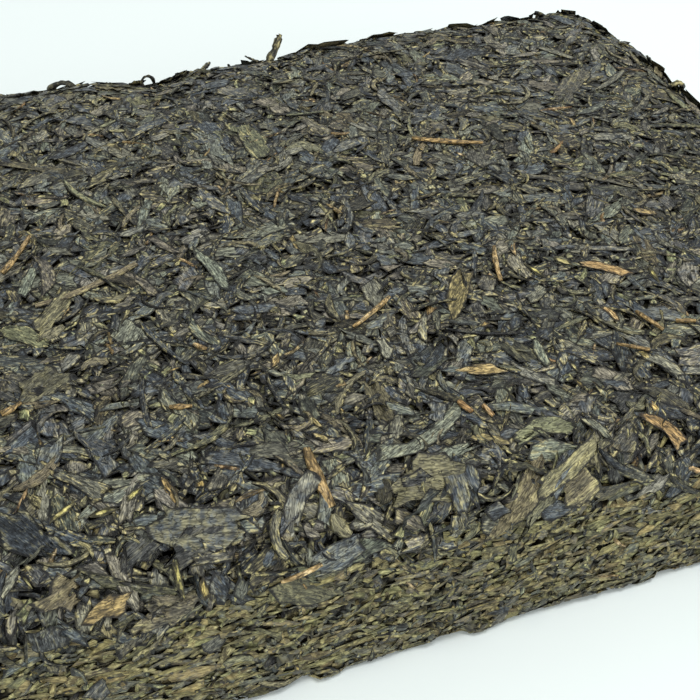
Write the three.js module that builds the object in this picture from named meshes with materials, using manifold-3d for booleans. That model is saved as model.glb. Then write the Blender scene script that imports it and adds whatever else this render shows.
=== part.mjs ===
// A brick of pressed dark tea: steamed leaf, twisted strips and bits of stem squeezed in a mould into
// one hard slab. It lies on its flat back. Units are millimetres, +Z is up, +X runs along the brick,
// and the origin is the middle of the underside.
import * as THREE from "three";
import { mergeVertices } from "three/addons/utils/BufferGeometryUtils.js";
import Module from "manifold-3d";

// Driving dimensions of the brick.
const LENGTH = 230;
const WIDTH = 148;
const THICKNESS = 36;
const SHOULDER = 10; // how far the top edge rolls over
const FOOT = 1; // how far the bottom edge rolls under
const CORNER = 15; // radius of the upright corners, seen from above

// The pressed mass under the leaf that shows.
const LEAF_COVER = 1; // the mass stops this far short of the mould
const EDGE_WANDER = { depth: 2.2, pitch: 22 }; // the edges run in and out of line
const SAG = { depth: 0.7, pitch: 40 }; // slow rise and fall of the top
const CRUMPLE = { top: 0.8, side: 0.4, pitch: 5.2 }; // bumps the size of a leaf
const BROKEN_EDGE = { x: -2, reach: 9, depth: 4 }; // where leaf has come away from the back edge
const GRID = { columns: 44, rows: 28, layers: 8 };

// The leaf that shows, with sizes as [least, most], angles in radians, and `proud` the height of a
// piece's middle above the mass.
const BROAD_LEAF = { count: 24, length: [11, 19], width: [6, 10], thick: 1.1, proud: 0.3, panels: [4, 2] };
const STRIP = { count: 26, length: [9, 17], width: [1.8, 3], thick: 1.3, proud: 0.3, panels: [3, 1] };
const STEM = { count: 8, length: [9, 15], radius: [0.7, 1], proud: 0.35 };
const SIDE_STRIP = { count: 18, length: [8, 15], width: [1.6, 2.6], thick: 1, proud: 0.2, panels: [3, 1] };
const STRAY_CURL = { length: 9, width: 2, thick: 1, rise: 3.2, proud: -0.4, panels: [4, 1] };
const STRAY_PLACES = [-62, 29, 84]; // along the back edge

// Repeatable random numbers.
let state = 41;
function random() {
  state = (Math.imul(state, 1664525) + 1013904223) >>> 0;
  return state / 2 ** 32;
}
const between = ([low, high]) => low + (high - low) * random();
const either = () => (random() < 0.5 ? -1 : 1);

// Smooth noise from -1 to 1: fixed random values on a lattice, eased from one to the next.
function lattice(i, j, k) {
  const mixed = Math.sin(i * 127.1 + j * 311.7 + k * 74.7) * 43758.5453;
  return 2 * (mixed - Math.floor(mixed)) - 1;
}
const ease = (t) => t * t * (3 - 2 * t);
const mix = THREE.MathUtils.lerp;
function noise(x, y, z, pitch) {
  const [u, v, w] = [x / pitch, y / pitch, z / pitch];
  const [i, j, k] = [Math.floor(u), Math.floor(v), Math.floor(w)];
  const [a, b, c] = [ease(u - i), ease(v - j), ease(w - k)];
  const row = (dj, dk) => mix(lattice(i, j + dj, k + dk), lattice(i + 1, j + dj, k + dk), a);
  return mix(mix(row(0, 0), row(1, 0), b), mix(row(0, 1), row(1, 1), b), c);
}

// The mass before it is roughened: a box with its upright corners, shoulder and foot rounded.
const HALF_LENGTH = LENGTH / 2 - LEAF_COVER;
const HALF_WIDTH = WIDTH / 2 - LEAF_COVER;
const MASS_TOP = THICKNESS - LEAF_COVER;

// Draws a square of side `radius` in to a quarter disc, which rounds an edge.
function squareToDisc(a, b, radius) {
  const shrink = (other) => Math.sqrt(1 - (other * other) / (2 * radius * radius));
  return [a * shrink(b), b * shrink(a)];
}

function roundCorner(x, y) {
  const [a, b] = [Math.abs(x) - HALF_LENGTH + CORNER, Math.abs(y) - HALF_WIDTH + CORNER];
  if (a <= 0 || b <= 0) return [x, y];
  const [c, d] = squareToDisc(a, b, CORNER);
  return [Math.sign(x) * (HALF_LENGTH - CORNER + c), Math.sign(y) * (HALF_WIDTH - CORNER + d)];
}

// How deep inside the rounded outline a point lies, seen from above, and the way out from there.
function insideOutline(x, y) {
  const a = Math.abs(x) - HALF_LENGTH + CORNER;
  const b = Math.abs(y) - HALF_WIDTH + CORNER;
  const out = new THREE.Vector2(Math.max(a, 0), Math.max(b, 0));
  const depth = CORNER - out.length() - Math.min(Math.max(a, b), 0);
  if (out.length() === 0) out.set(a > b ? 1 : 0, a > b ? 0 : 1);
  out.normalize();
  return { depth, out: new THREE.Vector2(out.x * Math.sign(x), out.y * Math.sign(y)) };
}

function roundShoulder(depth, z) {
  const [a, b] = [SHOULDER - depth, z - MASS_TOP + SHOULDER];
  if (a <= 0 || b <= 0) return { pulledIn: 0, height: z };
  const [c, d] = squareToDisc(a, b, SHOULDER);
  return { pulledIn: a - c, height: MASS_TOP - SHOULDER + d };
}

function roundFoot(z) {
  const below = Math.min(Math.max(FOOT - z, 0), FOOT);
  return FOOT - Math.sqrt(FOOT * FOOT - below * below);
}

// Moves a point of a plain box onto the pressed mass: rounded, with its edges out of line, its top
// gently uneven, and bumps where leaf lies crumpled in the skin.
function press(point) {
  const [x, y] = roundCorner(point.x, point.y);
  const { depth, out } = insideOutline(x, y);
  const { pulledIn, height } = roundShoulder(depth, point.z);
  const facingUp = THREE.MathUtils.smoothstep(height, MASS_TOP - SHOULDER, MASS_TOP);
  const nearEdge = 1 - THREE.MathUtils.smoothstep(depth, 0, 2 * SHOULDER);
  const raised = THREE.MathUtils.smoothstep(height, 0, MASS_TOP);

  const wander = EDGE_WANDER.depth * nearEdge * raised * (noise(x, y, 0, EDGE_WANDER.pitch) - 1) * 0.5;
  const sag = SAG.depth * facingUp * (noise(x, y, LENGTH, SAG.pitch) - 1) * 0.5;
  const bump = noise(x, y, height, CRUMPLE.pitch);
  const atBreak = Math.exp(-(((x - BROKEN_EDGE.x) / BROKEN_EDGE.reach) ** 2));
  const broken = y > 0 ? BROKEN_EDGE.depth * atBreak * nearEdge * facingUp : 0;

  const offFloor = THREE.MathUtils.smoothstep(height, 0, FOOT);
  const outward = wander - pulledIn - roundFoot(height) + bump * CRUMPLE.side * (1 - facingUp) * offFloor;
  const upward = sag - broken + bump * CRUMPLE.top * facingUp;
  return new THREE.Vector3(x + out.x * outward, y + out.y * outward, height + upward);
}

// The box reaches below the floor and is cut off there later. Its two lowest layers shape the foot.
function pressedMass() {
  const { columns, rows, layers } = GRID;
  const footLevels = [-FOOT / 2, FOOT / 3];
  const upperLayers = layers - footLevels.length;
  const levelOf = (layer) =>
    footLevels[layer] ?? mix(FOOT, MASS_TOP, (layer - footLevels.length) / upperLayers);
  const box = new THREE.BoxGeometry(2 * HALF_LENGTH, 2 * HALF_WIDTH, layers, columns, rows, layers);
  const place = box.getAttribute("position");
  const point = new THREE.Vector3();
  for (let i = 0; i < place.count; i++) {
    point.fromBufferAttribute(place, i);
    point.z = levelOf(Math.round(point.z + layers / 2));
    place.setXYZ(i, ...press(point));
  }
  return box;
}

// A leaf or strip along X: widest in the middle, bowed, bent sideways, twisted, and cupped over a
// round edge where `cup` gives its radius.
function leaf({ length, width, thick, panels }, { tip, bow, bend, twist, cup = Infinity }) {
  const slab = new THREE.BoxGeometry(2, 1, thick, ...panels, 1);
  const place = slab.getAttribute("position");
  for (let i = 0; i < place.count; i++) {
    const [along, across, up] = [place.getX(i), place.getY(i), place.getZ(i)];
    const half = across * width * mix(tip, 1, Math.cos((along * Math.PI) / 2));
    const turn = twist * along;
    const y = half * Math.cos(turn) - up * Math.sin(turn) + bend * along * along;
    const z = half * Math.sin(turn) + up * Math.cos(turn) + bow * along * along;
    place.setXYZ(i, (along * length) / 2, y, z - (half * half) / (2 * cup));
  }
  return slab;
}

function stem(length, radius) {
  const [taper, sides] = [0.8, 6];
  return new THREE.CylinderGeometry(radius * taper, radius, length, sides).rotateZ(Math.PI / 2);
}

// Solids for joining and cutting, and the way back.
const wasm = await Module();
wasm.setup();

function solid(geometry) {
  geometry.deleteAttribute("normal");
  geometry.deleteAttribute("uv");
  const merged = mergeVertices(geometry);
  const vertProperties = merged.getAttribute("position").array;
  const triVerts = new Uint32Array(merged.index.array);
  return new wasm.Manifold(new wasm.Mesh({ numProp: 3, vertProperties, triVerts }));
}

function geometryOf(manifold) {
  const mesh = manifold.getMesh();
  const geometry = new THREE.BufferGeometry();
  geometry.setAttribute("position", new THREE.BufferAttribute(mesh.vertProperties, 3));
  geometry.setIndex(new THREE.BufferAttribute(mesh.triVerts, 1));
  return geometry;
}

// The brick is built up piece by piece on the pressed mass.
const massGeometry = pressedMass();
const massSkin = new THREE.Mesh(massGeometry.clone());
const ray = new THREE.Raycaster();
let brick = solid(massGeometry);

// Lays a piece where a line through `aim` along `inward` meets the mass, turned by `heading` from level.
function lay(piece, aim, inward, heading, proud) {
  const start = aim.clone().addScaledVector(inward, -WIDTH);
  ray.set(start, inward);
  const [hit] = ray.intersectObject(massSkin);
  const out = inward.clone().negate();
  const level = new THREE.Vector3(-out.y, out.x, 0);
  if (level.length() === 0) level.set(1, 0, 0);
  const along = level.normalize().applyAxisAngle(out, heading);
  const across = out.clone().cross(along);
  const seat = hit.point.addScaledVector(out, proud);
  piece.applyMatrix4(new THREE.Matrix4().makeBasis(along, across, out).setPosition(seat));
  brick = brick.add(solid(piece));
}

// The outline seen from above. `share` runs from 0 to 1 round it.
const rim = new THREE.Path();
const [straightX, straightY] = [HALF_LENGTH - CORNER, HALF_WIDTH - CORNER];
rim.absarc(straightX, -straightY, CORNER, -Math.PI / 2, 0);
rim.absarc(straightX, straightY, CORNER, 0, Math.PI / 2);
rim.absarc(-straightX, straightY, CORNER, Math.PI / 2, Math.PI);
rim.absarc(-straightX, -straightY, CORNER, Math.PI, (3 * Math.PI) / 2);
rim.closePath();
function aroundRim(share, height) {
  const point = rim.getPointAt(share % 1);
  const tangent = rim.getTangentAt(share % 1);
  const out = new THREE.Vector3(tangent.y, -tangent.x, 0);
  return { aim: new THREE.Vector3(point.x, point.y, height), out };
}

// Spreads pieces evenly over the flat of the top.
const GOLDEN = (Math.sqrt(5) - 1) / 2;
const DOWN = new THREE.Vector3(0, 0, -1);
const FLAT_LENGTH = 2 * (HALF_LENGTH - SHOULDER) - STRIP.length[0];
const FLAT_WIDTH = 2 * (HALF_WIDTH - SHOULDER) - STRIP.length[0];
function overTop(index, count) {
  const x = (((index + 0.5) * GOLDEN) % 1) - 0.5;
  const y = (index + 0.5) / count - 0.5;
  return new THREE.Vector3(x * FLAT_LENGTH, y * FLAT_WIDTH, MASS_TOP);
}

const sized = (kind) => ({ ...kind, length: between(kind.length), width: between(kind.width) });

// Broad leaf shows most along the shoulders, where the mould presses least.
function layBroadLeaves() {
  for (let i = 0; i < BROAD_LEAF.count; i++) {
    const { aim, out } = aroundRim((i + 0.5 * random()) / BROAD_LEAF.count, MASS_TOP - SHOULDER);
    aim.addScaledVector(out, -SHOULDER);
    const slope = between([0.5, 1.3]);
    const inward = out.multiplyScalar(-Math.cos(slope)).setZ(-Math.sin(slope));
    const bend = 0.6 * either();
    const form = { tip: 0.3, bow: -between([0.4, 1.6]), bend, twist: 0.15 * either(), cup: SHOULDER };
    lay(leaf(sized(BROAD_LEAF), form), aim, inward, between([-0.5, 0.5]), BROAD_LEAF.proud);
  }
}

// Twisted strips lie every way on the top, pressed nearly flat.
function layStrips() {
  for (let i = 0; i < STRIP.count; i++) {
    const bend = between([0.2, 1.6]) * either();
    const form = { tip: 0.35, bow: -between([0.1, 0.4]), bend, twist: 0.3 * either() };
    lay(leaf(sized(STRIP), form), overTop(i, STRIP.count), DOWN, between([0, Math.PI]), STRIP.proud);
  }
}

function layStems() {
  for (let i = 0; i < STEM.count; i++) {
    const piece = stem(between(STEM.length), between(STEM.radius));
    const aim = overTop(i, STEM.count);
    lay(piece, new THREE.Vector3(-aim.x, aim.y, aim.z), DOWN, between([0, Math.PI]), STEM.proud);
  }
}

// On the sides the leaf lies in level layers.
function laySideStrips() {
  const low = FOOT + SIDE_STRIP.width[1];
  const high = MASS_TOP - SHOULDER;
  for (let i = 0; i < SIDE_STRIP.count; i++) {
    const { aim, out } = aroundRim((i + 0.5) * GOLDEN, mix(low, high, (i + 0.5) / SIDE_STRIP.count));
    const form = { tip: 0.4, bow: -0.3, bend: 0.4 * either(), twist: 0.1 * either() };
    lay(leaf(sized(SIDE_STRIP), form), aim, out.negate(), between([-0.12, 0.12]), SIDE_STRIP.proud);
  }
}

// A few loose ends curl up from the back edge.
function layStrayCurls() {
  for (const x of STRAY_PLACES) {
    const form = { tip: 0.5, bow: STRAY_CURL.rise, bend: 0.5 * either(), twist: 0.2 };
    const aim = new THREE.Vector3(x, HALF_WIDTH - SHOULDER / 2, MASS_TOP);
    lay(leaf(STRAY_CURL, form), aim, DOWN, between([0, Math.PI]), STRAY_CURL.proud);
  }
}

layBroadLeaves();
layStrips();
layStems();
laySideStrips();
layStrayCurls();

// The back is pressed flat on the floor.
const floor = new THREE.BoxGeometry(2 * LENGTH, 2 * WIDTH, THICKNESS).translate(0, 0, -THICKNESS / 2);
brick = brick.subtract(solid(floor));

// Only the brick itself is kept: no loose scrap, and no hollow sealed in where leaf meets leaf.
const [whole] = brick.decompose().sort((a, b) => b.volume() - a.volume());
const shape = geometryOf(whole);

// The leaf that stands out furthest touches the mould's walls.
shape.computeBoundingBox();
const reach = shape.boundingBox.getSize(new THREE.Vector3());
const middle = shape.boundingBox.getCenter(new THREE.Vector3());
shape.translate(-middle.x, -middle.y, 0);
shape.scale(LENGTH / reach.x, WIDTH / reach.y, 1);
shape.computeVertexNormals();

const pressedLeaf = new THREE.MeshStandardMaterial({ color: 0x57574e, roughness: 0.7, metalness: 0 });
const teaBrick = new THREE.Mesh(shape, pressedLeaf);
teaBrick.name = "tea_brick";

const part = new THREE.Group();
part.add(teaBrick);

export default part;
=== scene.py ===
"""A brick of pressed dark tea: a dense core of steamed leaf, covered with the chips, strips, broad leaves
and stems that show. Lengths are in metres. MM turns millimetres into them."""
import math

import bpy
import numpy as np
from mathutils import Matrix, Vector
from mathutils.bvhtree import BVHTree
from mathutils.kdtree import KDTree
from numpy.random import default_rng


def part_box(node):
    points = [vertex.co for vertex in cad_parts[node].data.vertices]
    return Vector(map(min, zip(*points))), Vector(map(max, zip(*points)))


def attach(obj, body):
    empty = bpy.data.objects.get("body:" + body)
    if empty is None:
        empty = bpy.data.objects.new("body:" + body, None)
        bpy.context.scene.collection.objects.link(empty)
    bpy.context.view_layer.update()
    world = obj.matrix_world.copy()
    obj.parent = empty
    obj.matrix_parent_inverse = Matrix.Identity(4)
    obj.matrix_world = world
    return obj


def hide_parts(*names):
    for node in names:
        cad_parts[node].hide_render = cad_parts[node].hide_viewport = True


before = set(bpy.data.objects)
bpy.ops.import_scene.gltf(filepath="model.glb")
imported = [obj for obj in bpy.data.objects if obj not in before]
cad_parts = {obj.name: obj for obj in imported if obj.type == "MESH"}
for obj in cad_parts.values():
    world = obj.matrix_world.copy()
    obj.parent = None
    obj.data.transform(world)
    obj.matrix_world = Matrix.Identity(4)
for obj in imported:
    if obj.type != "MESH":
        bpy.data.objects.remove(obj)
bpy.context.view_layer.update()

# The view
# The camera stands off the near long side and looks down across the top to the far right corner.
# The left end of the brick runs out of the picture.
MM = 0.001
CAMERA_PLACE = Vector((-34, -163, 154.5)) * MM
LOOK_DOWN = math.radians(42)
TURN_RIGHT = math.radians(19.2)
LEAN = math.radians(0.5)
PICTURE_WIDTH = 700
FOCAL_LENGTH = 1072  # in the picture's pixels
SENSOR_WIDTH = 36

put_in_scene = bpy.context.scene.collection.objects.link
lens = bpy.data.cameras.new("camera")
lens.sensor_width = SENSOR_WIDTH
lens.lens = SENSOR_WIDTH * FOCAL_LENGTH / PICTURE_WIDTH
camera = bpy.data.objects.new("camera", lens)
tilt = Matrix.Rotation(math.pi / 2 - LOOK_DOWN, 4, "X") @ Matrix.Rotation(LEAN, 4, "Z")
camera.matrix_world = Matrix.Translation(CAMERA_PLACE) @ Matrix.Rotation(-TURN_RIGHT, 4, "Z") @ tilt
put_in_scene(camera)
bpy.context.scene.camera = camera

# The pressed core
# Steamed leaf squeezed until it holds together: a dense block of packed bits with cracks between, which shows
# between the leaves on its skin. Its cracks, its pits and its depths are painted dark as shade. It keeps the
# solid's form, drawn in by those leaves.
SKIN_PITCH = 1.05 * MM
SKIN_EASE = 26  # rounds of smoothing
FOOT_HEIGHT = 6 * MM  # below this the skin keeps the sharp edge that the mould's bottom plate left
LEAF_COVER = 1 * MM  # the solid stops this far short of the leaf that shows
SWELLS = {  # where the loose leaf of the edges stands further out or in: x, y, z, reach and height
    "left far": (-34, 70, 35, 10, 0.4), "far middle": (52, 70, 35, 9, 1.5), "far": (69, 70, 35, 8, 1.3),
    "far right": (85, 70, 35, 8, 1.3), "far corner": (102, 70, 35, 9, 0.8),
    "corner bump": (109, 69, 35, 3, 1.2), "corner dent": (114, 55, 34, 4.5, -2.4),
    "right bump": (114, 46, 34, 5, 1.3), "right swell": (114, 35, 34, 6, 1.2),
}
FOOT_NOTCHES = 260  # all round the bottom edge, where crumbs break off
NOTCH_DEPTH = 1.6 * MM  # half of it inwards and half outwards
NOTCH_HEIGHT = 3.5 * MM
NOTCH_REACH = 4 * MM
SORTING_CELL = 5 * MM
PACKED_BITS = 17000
LAYER_SQUEEZE = (1, 1, 2.6)  # bits and pits at the sides are longer than high
CRACK_WIDTH = 0.9 * MM
CORE_DRAWN_IN = {"top": 0.5 * MM, "shoulder": 2.2 * MM, "side": 0.3 * MM, "under": 0.4 * MM}
CORE_RELIEF = {"top": 0.22 * MM, "shoulder": 0.5 * MM, "side": 0.12 * MM, "under": 0.03 * MM}
CRACK_DEPTH = {"top": 0.5 * MM, "shoulder": 0.6 * MM, "side": 0.35 * MM, "under": 0.1 * MM}
# Painted shade: how far the core's depth mark is lowered in each zone, so its finish paints it darker as the
# shade under the leaves.
CORE_SHADE = {"top": -0.5, "shoulder": -0.75, "side": -0.05, "under": -0.1}
PITS = 1700
PIT_REACH = 1.0 * MM
PIT_DEPTH = 1.1 * MM


def unit(vectors):
    return vectors / np.maximum(np.linalg.norm(vectors, axis=-1, keepdims=True), 1e-12)


def smoothstep(low, high, value):
    share = np.clip((value - low) / (high - low), 0, 1)
    return share * share * (3 - 2 * share)


def read(items, field, width, kind=np.int32):
    values = np.empty(width * len(items), kind)
    items.foreach_get(field, values)
    return values.reshape(-1, width)


def eased_skin(node):
    """The solid's skin with its fused leaves eased away above the foot, as points and triangles."""
    block = bpy.data.objects.new("block", node.data.copy())
    put_in_scene(block)
    close = block.modifiers.new("close", "REMESH")
    close.mode = "VOXEL"
    close.voxel_size = SKIN_PITCH
    closed = block.evaluated_get(bpy.context.evaluated_depsgraph_get())
    mesh = closed.to_mesh()
    mesh.calc_loop_triangles()
    points = read(mesh.vertices, "co", 3, float)
    triangles = read(mesh.loop_triangles, "vertices", 3)
    pairs = read(mesh.edges, "vertices", 2)
    bpy.data.objects.remove(block)
    ends, opposite = pairs.ravel(), pairs[:, ::-1].ravel()
    neighbours = np.bincount(ends)
    for _ in range(SKIN_EASE):
        middle = np.stack([np.bincount(ends, axis[opposite]) / neighbours for axis in points.T], 1)
        points = points + 0.5 * smoothstep(0, FOOT_HEIGHT, points[:, 2:]) * (middle - points)
    return points, triangles


def outward(points, faces):
    """The outward direction of each face, as long as twice its area, and of each point."""
    a, b, c = (points[faces[:, k]] for k in range(3))
    of_faces = np.cross(b - a, c - a)
    of_points = np.zeros_like(points)
    for corner in range(3):
        np.add.at(of_points, faces[:, corner], of_faces)
    return of_faces, unit(of_points)


skin, skin_faces = eased_skin(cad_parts["tea_brick"])
_, skin_out = outward(skin, skin_faces)
skin = skin + LEAF_COVER * skin_out * smoothstep(-0.95, -0.5, skin_out[:, 2:])
for x, y, z, reach, height in SWELLS.values():
    away = np.linalg.norm(skin - MM * np.array((x, y, z)), axis=1) / (reach * MM)
    skin = skin + height * MM * np.exp(-away[:, None] ** 2) * skin_out
skin[:, 2] = np.maximum(skin[:, 2], 0)


def tree_of(places):
    tree = KDTree(len(places))
    for number, place in enumerate(places.tolist()):
        tree.insert(place, number)
    tree.balance()
    return tree


foot_random = default_rng(41)
low = np.flatnonzero(skin[:, 2] < NOTCH_HEIGHT)
notches = foot_random.choice(low[np.abs(skin_out[low, 2]) < 0.7], FOOT_NOTCHES)
notch_way = unit(skin_out[notches] * (1, 1, 0))
notch_depth = NOTCH_DEPTH * (foot_random.random(FOOT_NOTCHES) ** 2 - 0.5)
notch_tree = tree_of(skin[notches])
hits = [notch_tree.find(place) for place in skin[low].tolist()]
notch = np.array([hit[1] for hit in hits])
away = np.array([hit[2] for hit in hits])
cut_in = notch_depth[notch] * smoothstep(NOTCH_REACH, NOTCH_REACH / 2, away)
cut_in *= smoothstep(NOTCH_HEIGHT, NOTCH_HEIGHT / 3, skin[low, 2])
skin[low] -= cut_in[:, None] * notch_way[notch]
face_out, skin_out = outward(skin, skin_faces)
face_area = np.linalg.norm(face_out, axis=1) / 2
skin_tree = BVHTree.FromPolygons(skin.tolist(), skin_faces.tolist())


def zones(spots, outs):
    """How far each spot belongs to the top, the shoulder, the side and the underside."""
    rise = outs[..., 2]
    half_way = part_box("tea_brick")[1].z / 2
    top = smoothstep(0.82, 0.98, rise)
    under = smoothstep(-0.4, -0.8, rise)
    shoulder = smoothstep(0.08, 0.3, rise) * (1 - top) * (spots[..., 2] > half_way)
    side = np.clip(1 - top - under - shoulder, 0, 1)
    return {"top": top, "shoulder": shoulder, "side": side, "under": under}


def by_zone(spots, outs, values):
    shares = zones(spots, outs)
    return sum(shares[zone] * value for zone, value in values.items())


def onto_skin(targets):
    """The nearest spots of the skin, and its smooth outward direction there."""
    hits = [skin_tree.find_nearest(target) for target in targets.reshape(-1, 3).tolist()]
    spots = np.array([hit[0][:] for hit in hits])
    corners = skin_faces[[hit[2] for hit in hits]]
    sides = skin[corners] - spots[:, None]
    areas = np.cross(np.roll(sides, -1, axis=1), np.roll(sides, -2, axis=1))
    shares = np.linalg.norm(areas, axis=2)
    outs = unit((shares[..., None] * skin_out[corners]).sum(1))
    return spots.reshape(targets.shape), outs.reshape(targets.shape)


def level_way(outs):
    """The level direction along the skin: round the sides, and along the length on the flat faces."""
    level = np.stack([-outs[:, 1], outs[:, 0], 0 * outs[:, 0]], 1)
    level[np.abs(outs[:, 2]) > 0.95] = (1, 0, 0)
    return unit(level - outs * (level * outs).sum(1, keepdims=True))


def put_in(tree, kind, sockets=(), **settings):
    """A new shader node. Sockets are given as {input name or number: value or socket to link}."""
    node = tree.nodes.new(kind)
    for name, value in settings.items():
        setattr(node, name, value)
    for name, value in dict(sockets).items():
        if isinstance(value, bpy.types.NodeSocket):
            tree.links.new(value, node.inputs[name])
        else:
            node.inputs[name].default_value = value
    return node


def mixed(tree, share, one, other, blend="MIX"):
    node = put_in(tree, "ShaderNodeMix", {0: share, 6: one, 7: other}, data_type="RGBA", blend_type=blend)
    return node.outputs[2]


def ranged(tree, value, low, high, to_low=0.0, to_high=1.0):
    node = put_in(tree, "ShaderNodeMapRange", {0: value, 1: low, 2: high, 3: to_low, 4: to_high},
                  interpolation_type="SMOOTHSTEP")
    return node.outputs[0]


def worked(tree, operation, *values, clamp=True):
    node = put_in(tree, "ShaderNodeMath", dict(enumerate(values)), operation=operation, use_clamp=clamp)
    return node.outputs[0]


LEAF_MARKS = ("tone", "depth", "from_rim", "slate", "brown", "pale")
SLATE_TINT = (0.8, 1.02, 1.28, 1)
OLIVE_TINT = (0.99, 1.05, 0.76, 1)
BROWN_TINT = (1.2, 1.0, 0.73, 1)
# Painted shade: the near black put into the crack round each leaf and along its creases.
PAINTED_CRACK_SHADE = (0.004, 0.004, 0.004, 1)


def dry_leaf_group():
    """Dried leaf. Each leaf has its tone, turns more or less to slate or brown, and has a share of pale
    wrinkles and torn edges. The crack round it and the creases across it are painted near black as shade, its
    wrinkles and fibres are painted darker in their hollows and lighter on their crests, and it is painted
    darker with shade in the depths."""
    tree = bpy.data.node_groups.new("dry leaf", "ShaderNodeTree")
    for way, kind, names in (("INPUT", "Color", ("Dark", "Light", "Pale")),
                             ("INPUT", "Float", ("Pale share", "Wrinkles per metre", "Relief shade", "Crack shade")),
                             ("OUTPUT", "Color", ("Color",)), ("OUTPUT", "Float", ("Roughness", "Height"))):
        for name in names:
            tree.interface.new_socket(name, in_out=way, socket_type=f"NodeSocket{kind}")
    given = tree.nodes.new("NodeGroupInput").outputs
    grain = put_in(tree, "ShaderNodeAttribute", attribute_name="grain").outputs["Vector"]
    tone, depth, from_rim, slate, brown, pale_leaf = (
        put_in(tree, "ShaderNodeAttribute", attribute_name=mark).outputs["Fac"] for mark in LEAF_MARKS)

    def noise(along, scale, detail):
        """Noise over the leaf, drawn out along it where along is below 1."""
        drawn = put_in(tree, "ShaderNodeVectorMath", {0: grain, 1: (along, 1, 1)}, operation="MULTIPLY")
        return put_in(tree, "ShaderNodeTexNoise", {"Vector": drawn.outputs[0], "Scale": scale,
                                                   "Detail": detail, "Roughness": 0.6}).outputs["Fac"]

    wrinkle = noise(0.22, given["Wrinkles per metre"], 3)
    mottle = noise(1, 900, 3)
    fibre = noise(0.22, 4200, 1)
    bends = noise(0.5, 900, 2)
    off_crease = worked(tree, "ABSOLUTE", worked(tree, "SUBTRACT", bends, 0.5, clamp=False), clamp=False)
    patch = worked(tree, "MULTIPLY_ADD", mottle, 1.5, -0.75, clamp=False)
    light_share = worked(tree, "ADD", tone, patch)
    colour = mixed(tree, light_share, given["Dark"], given["Light"])
    lightness = put_in(tree, "ShaderNodeRGBToBW", {0: colour}).outputs[0]
    slate_colour = mixed(tree, 1, lightness, SLATE_TINT, "MULTIPLY")
    warm_tint = mixed(tree, brown, OLIVE_TINT, BROWN_TINT)
    warm_colour = mixed(tree, 1, colour, warm_tint, "MULTIPLY")
    slate_turn = worked(tree, "MULTIPLY", slate, ranged(tree, light_share, 0.2, 0.75, 1, 0.12))
    colour = mixed(tree, slate_turn, warm_colour, slate_colour)
    ridge = ranged(tree, wrinkle, 0.55, 0.7, 0, 0.8)
    torn = worked(tree, "MULTIPLY", ranged(tree, from_rim, 0.3, 0.7, 1, 0), ranged(tree, mottle, 0.5, 0.6))
    dust = ranged(tree, fibre, 0.57, 0.74, 0, 0.35)
    pale = worked(tree, "MAXIMUM", worked(tree, "MAXIMUM", ridge, torn), dust)
    pale_share = worked(tree, "MULTIPLY", pale_leaf, given["Pale share"])
    colour = mixed(tree, worked(tree, "MULTIPLY", pale, pale_share), colour, given["Pale"])
    # Painted shade: the crack round each leaf, made ragged by the mottle, and the creases across it turn near
    # black.
    ragged = worked(tree, "MULTIPLY_ADD", mottle, 0.7, -0.35, clamp=False)
    to_crack = worked(tree, "ADD", from_rim, ragged, clamp=False)
    crease_shade = ranged(tree, off_crease, 0.005, 0.035, 0.75, 0)
    crack_shade = worked(tree, "MAXIMUM", ranged(tree, to_crack, 0.14, 0.36, 1, 0), crease_shade)
    crack_shade = worked(tree, "MULTIPLY", crack_shade, given["Crack shade"])
    colour = mixed(tree, crack_shade, colour, PAINTED_CRACK_SHADE)
    # Painted shade and light: the wrinkles and fibres darken the colour in their hollows and lighten it on
    # their crests, over the relief that the bump gives, and leaves deep in the skin are painted darker as
    # shade.
    for value, low, high, darkest, brightest, share in ((wrinkle, 0.32, 0.62, 0.6, 1.25, given["Relief shade"]),
                                                        (fibre, 0.34, 0.68, 0.5, 1.6, given["Relief shade"]),
                                                        (depth, -0.9, 0.12, 0.06, 1, 1)):
        shade = ranged(tree, value, low, high, darkest, brightest)
        colour = mixed(tree, share, colour, shade, "MULTIPLY")
    rough = ranged(tree, wrinkle, 0.2, 0.8, 0.28, 0.62)
    height = worked(tree, "MULTIPLY_ADD", fibre, 0.35, wrinkle, clamp=False)
    put_in(tree, "NodeGroupOutput", {"Color": colour, "Roughness": rough, "Height": height})
    return tree


dry_leaf = dry_leaf_group()


def leaf_finish(name, dark, light, pale, pitch, relief, pale_share=0.5, grain=1.0, crack_shade=0.93,
                sheen=0.3):
    """A dried leaf material: its colours, how much of its wrinkles is pale, their pitch and relief in
    millimetres, how strongly the painted shade and light of its fibres and wrinkles show (grain), how dark
    the painted shade of its creases and of the cracks round its leaves is, and its sheen."""
    material = bpy.data.materials.new(name)
    material.use_nodes = True
    tree = material.node_tree
    tree.nodes.clear()
    leaf = put_in(tree, "ShaderNodeGroup", {
        "Dark": (*dark, 1), "Light": (*light, 1), "Pale": (*pale, 1), "Pale share": pale_share,
        "Wrinkles per metre": 1 / (pitch * MM), "Relief shade": grain, "Crack shade": crack_shade}, node_tree=dry_leaf)
    bump = put_in(tree, "ShaderNodeBump", {
        "Height": leaf.outputs["Height"], "Strength": 1, "Distance": relief * MM})
    shader = put_in(tree, "ShaderNodeBsdfPrincipled", {
        "Base Color": leaf.outputs["Color"], "Roughness": leaf.outputs["Roughness"],
        "Normal": bump.outputs["Normal"], "Specular IOR Level": sheen,
    })
    put_in(tree, "ShaderNodeOutputMaterial", {"Surface": shader.outputs["BSDF"]})
    return material


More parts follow.
